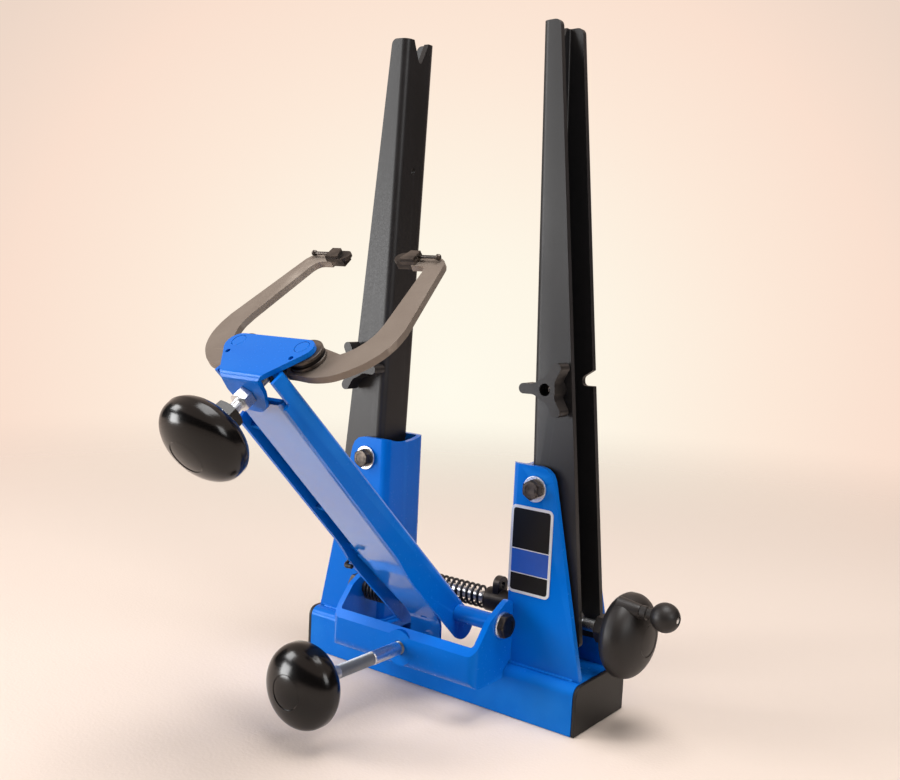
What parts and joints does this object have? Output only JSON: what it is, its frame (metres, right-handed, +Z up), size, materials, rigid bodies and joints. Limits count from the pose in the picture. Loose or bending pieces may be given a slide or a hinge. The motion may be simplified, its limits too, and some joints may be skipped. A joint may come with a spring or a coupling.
{
  "type": "bicycle wheel truing stand",
  "caption": "Free-standing bench stand with two notched uprights that hold a bicycle wheel by its axle, and a sprung arm with caliper jaws that gauge the rim.",
  "frame": {"origin": "on the bottom edge of the base's front wall, at mid length", "axes": "+Z up, +X along the wheel's axle towards the crank knob, +Y to the rear, away from the caliper arm"},
  "size_m": [0.3434, 0.3422, 0.5324],
  "materials": {
    "blue": "gloss",
    "black": "satin",
    "knob": "satin",
    "cap": "matte",
    "jaw": "satin",
    "blackened": "satin",
    "brass": "satin",
    "zinc": "satin"
  },
  "bodies": {
    "root": {"base_channel": "blue", "caliper_bracket": "blue", "bracket_nut": "zinc", "bearing_sleeve": "blackened", "adjusting_spring": "blackened", "arm_bolt": "blackened", "arm_nut": "zinc", "arm_spacer_left": "blackened", "arm_spacer_right": "blue", "end_cap_left": "cap", "end_cap_right": "cap", "housing_left": "blue", "housing_right": "blue", "pivot_bolt_left": "blackened", "pivot_bolt_right": "blackened", "pivot_nut_left": "zinc", "pivot_nut_right": "zinc", "pivot_washer_left": "zinc", "pivot_washer_right": "zinc", "pivot_spacer_front_left": "cap", "pivot_spacer_front_right": "cap", "pivot_spacer_rear_left": "cap", "pivot_spacer_rear_right": "cap"},
    "upright_right": {"upright_right": "black", "clamp_nut_right": "zinc"},
    "upright_left": {"upright_left": "black", "clamp_nut_left": "zinc"},
    "trunnion_right": {"trunnion_right": "brass"},
    "trunnion_left": {"trunnion_left": "brass"},
    "side_screw": {"adjusting_screw": "zinc", "spring_collar": "blackened", "jam_nut": "zinc", "side_knob": "knob", "crank_pin": "zinc"},
    "crank": {"crank_spinner": "knob"},
    "arm": {"arm_channel": "blue", "arm_inner_channel": "blue", "arm_spring": "blackened", "head_plate": "blue", "caliper_nut": "zinc", "jaw_pin_left": "blue", "jaw_pin_right": "blue", "jaw_washer_left": "blackened", "jaw_washer_right": "blackened"},
    "radial_tip": {"radial_tip": "zinc"},
    "radial_screw": {"radial_screw": "zinc", "radial_knob": "knob"},
    "pusher": {"caliper_pusher": "blackened"},
    "caliper_screw": {"caliper_screw": "zinc", "caliper_knob": "knob"},
    "jaw_right": {"jaw_right": "jaw", "jaw_tip_right": "blackened", "tip_screw_right": "zinc"},
    "jaw_left": {"jaw_left": "jaw", "jaw_tip_left": "blackened", "tip_screw_left": "zinc"},
    "clamp_right": {"clamp_knob_right": "knob", "clamp_stud_right": "zinc"},
    "clamp_left": {"clamp_knob_left": "knob", "clamp_stud_left": "zinc"}
  },
  "joints": [
    {"name": "upright_right_tilt", "type": "hinge", "parent": "root", "child": "upright_right", "pos_m": [0.0864, 0.0335, 0.1801], "axis": [0, 1, 0], "range_deg": [-4.5, 4]},
    {"name": "upright_left_tilt", "type": "hinge", "parent": "root", "child": "upright_left", "pos_m": [-0.0864, 0.0335, 0.1801], "axis": [0, 1, 0], "range_deg": [-4, 4.5]},
    {"name": "trunnion_right_turn", "type": "hinge", "parent": "upright_right", "child": "trunnion_right", "pos_m": [0.0929, 0.0335, 0.076], "axis": [0, 1, 0], "range_deg": [-4, 4.5]},
    {"name": "trunnion_left_turn", "type": "hinge", "parent": "upright_left", "child": "trunnion_left", "pos_m": [-0.0929, 0.0335, 0.076], "axis": [0, 1, 0], "range_deg": [-4.5, 4]},
    {"name": "side_screw_turn", "type": "hinge", "parent": "root", "child": "side_screw", "pos_m": [0, 0.0335, 0.076], "axis": [1, 0, 0], "range_deg": [-990, 880]},
    {"name": "crank_spin", "type": "hinge", "parent": "side_screw", "child": "crank", "pos_m": [0.175, 0.02209, 0.10047], "axis": [1, 0, 0], "continuous": true},
    {"name": "arm_tilt", "type": "hinge", "parent": "root", "child": "arm", "pos_m": [0, -0.0075, 0.073], "axis": [1, 0, 0], "range_deg": [-17, 25], "deforming": ["arm_spring"]},
    {"name": "radial_tip_slide", "type": "slide", "parent": "root", "child": "radial_tip", "axis": [0, 1, 0], "range_m": [-0.0086, 0.0126]},
    {"name": "radial_screw_turn", "type": "hinge", "parent": "radial_tip", "child": "radial_screw", "pos_m": [0, -0.0183, 0.0455], "axis": [0, 1, 0], "range_deg": [-2060, 3000]},
    {"name": "jaw_right_turn", "type": "hinge", "parent": "arm", "child": "jaw_right", "pos_m": [0.0295, -0.1913, 0.2903], "axis": [0, -0.5878, 0.809], "range_deg": [-10, 8]},
    {"name": "jaw_left_turn", "type": "hinge", "parent": "arm", "child": "jaw_left", "pos_m": [-0.0295, -0.1913, 0.2903], "axis": [0, -0.5878, 0.809], "range_deg": [-8, 10]},
    {"name": "pusher_slide", "type": "slide", "parent": "arm", "child": "pusher", "axis": [0, 0.809, 0.5878], "range_m": [-0.0022, 0.0027]},
    {"name": "caliper_screw_turn", "type": "hinge", "parent": "pusher", "child": "caliper_screw", "pos_m": [0, -0.1819, 0.27735], "axis": [0, 0.809, 0.5878], "range_deg": [-620, 770]},
    {"name": "clamp_right_turn", "type": "hinge", "parent": "upright_right", "child": "clamp_right", "pos_m": [0.09535, 0.0144, 0.25815], "axis": [0, -1, 0], "range_deg": [0, 360]},
    {"name": "clamp_left_turn", "type": "hinge", "parent": "upright_left", "child": "clamp_left", "pos_m": [-0.09535, 0.0144, 0.25815], "axis": [0, -1, 0], "range_deg": [0, 360]}
  ],
  "couplings": [
    {"joint": "upright_left_tilt", "follows": "upright_right_tilt", "ratio": -1},
    {"joint": "trunnion_right_turn", "follows": "upright_right_tilt", "ratio": -1},
    {"joint": "trunnion_left_turn", "follows": "upright_right_tilt", "ratio": 1},
    {"joint": "side_screw_turn", "follows": "upright_right_tilt", "ratio": 218.03},
    {"joint": "radial_tip_slide", "follows": "arm_tilt", "m_per_rad": 0.0283},
    {"joint": "radial_screw_turn", "follows": "arm_tilt", "ratio": 118.54},
    {"joint": "jaw_left_turn", "follows": "jaw_right_turn", "ratio": -1},
    {"joint": "pusher_slide", "follows": "jaw_right_turn", "m_per_rad": -0.015},
    {"joint": "caliper_screw_turn", "follows": "jaw_right_turn", "ratio": -75.398}
  ]
}
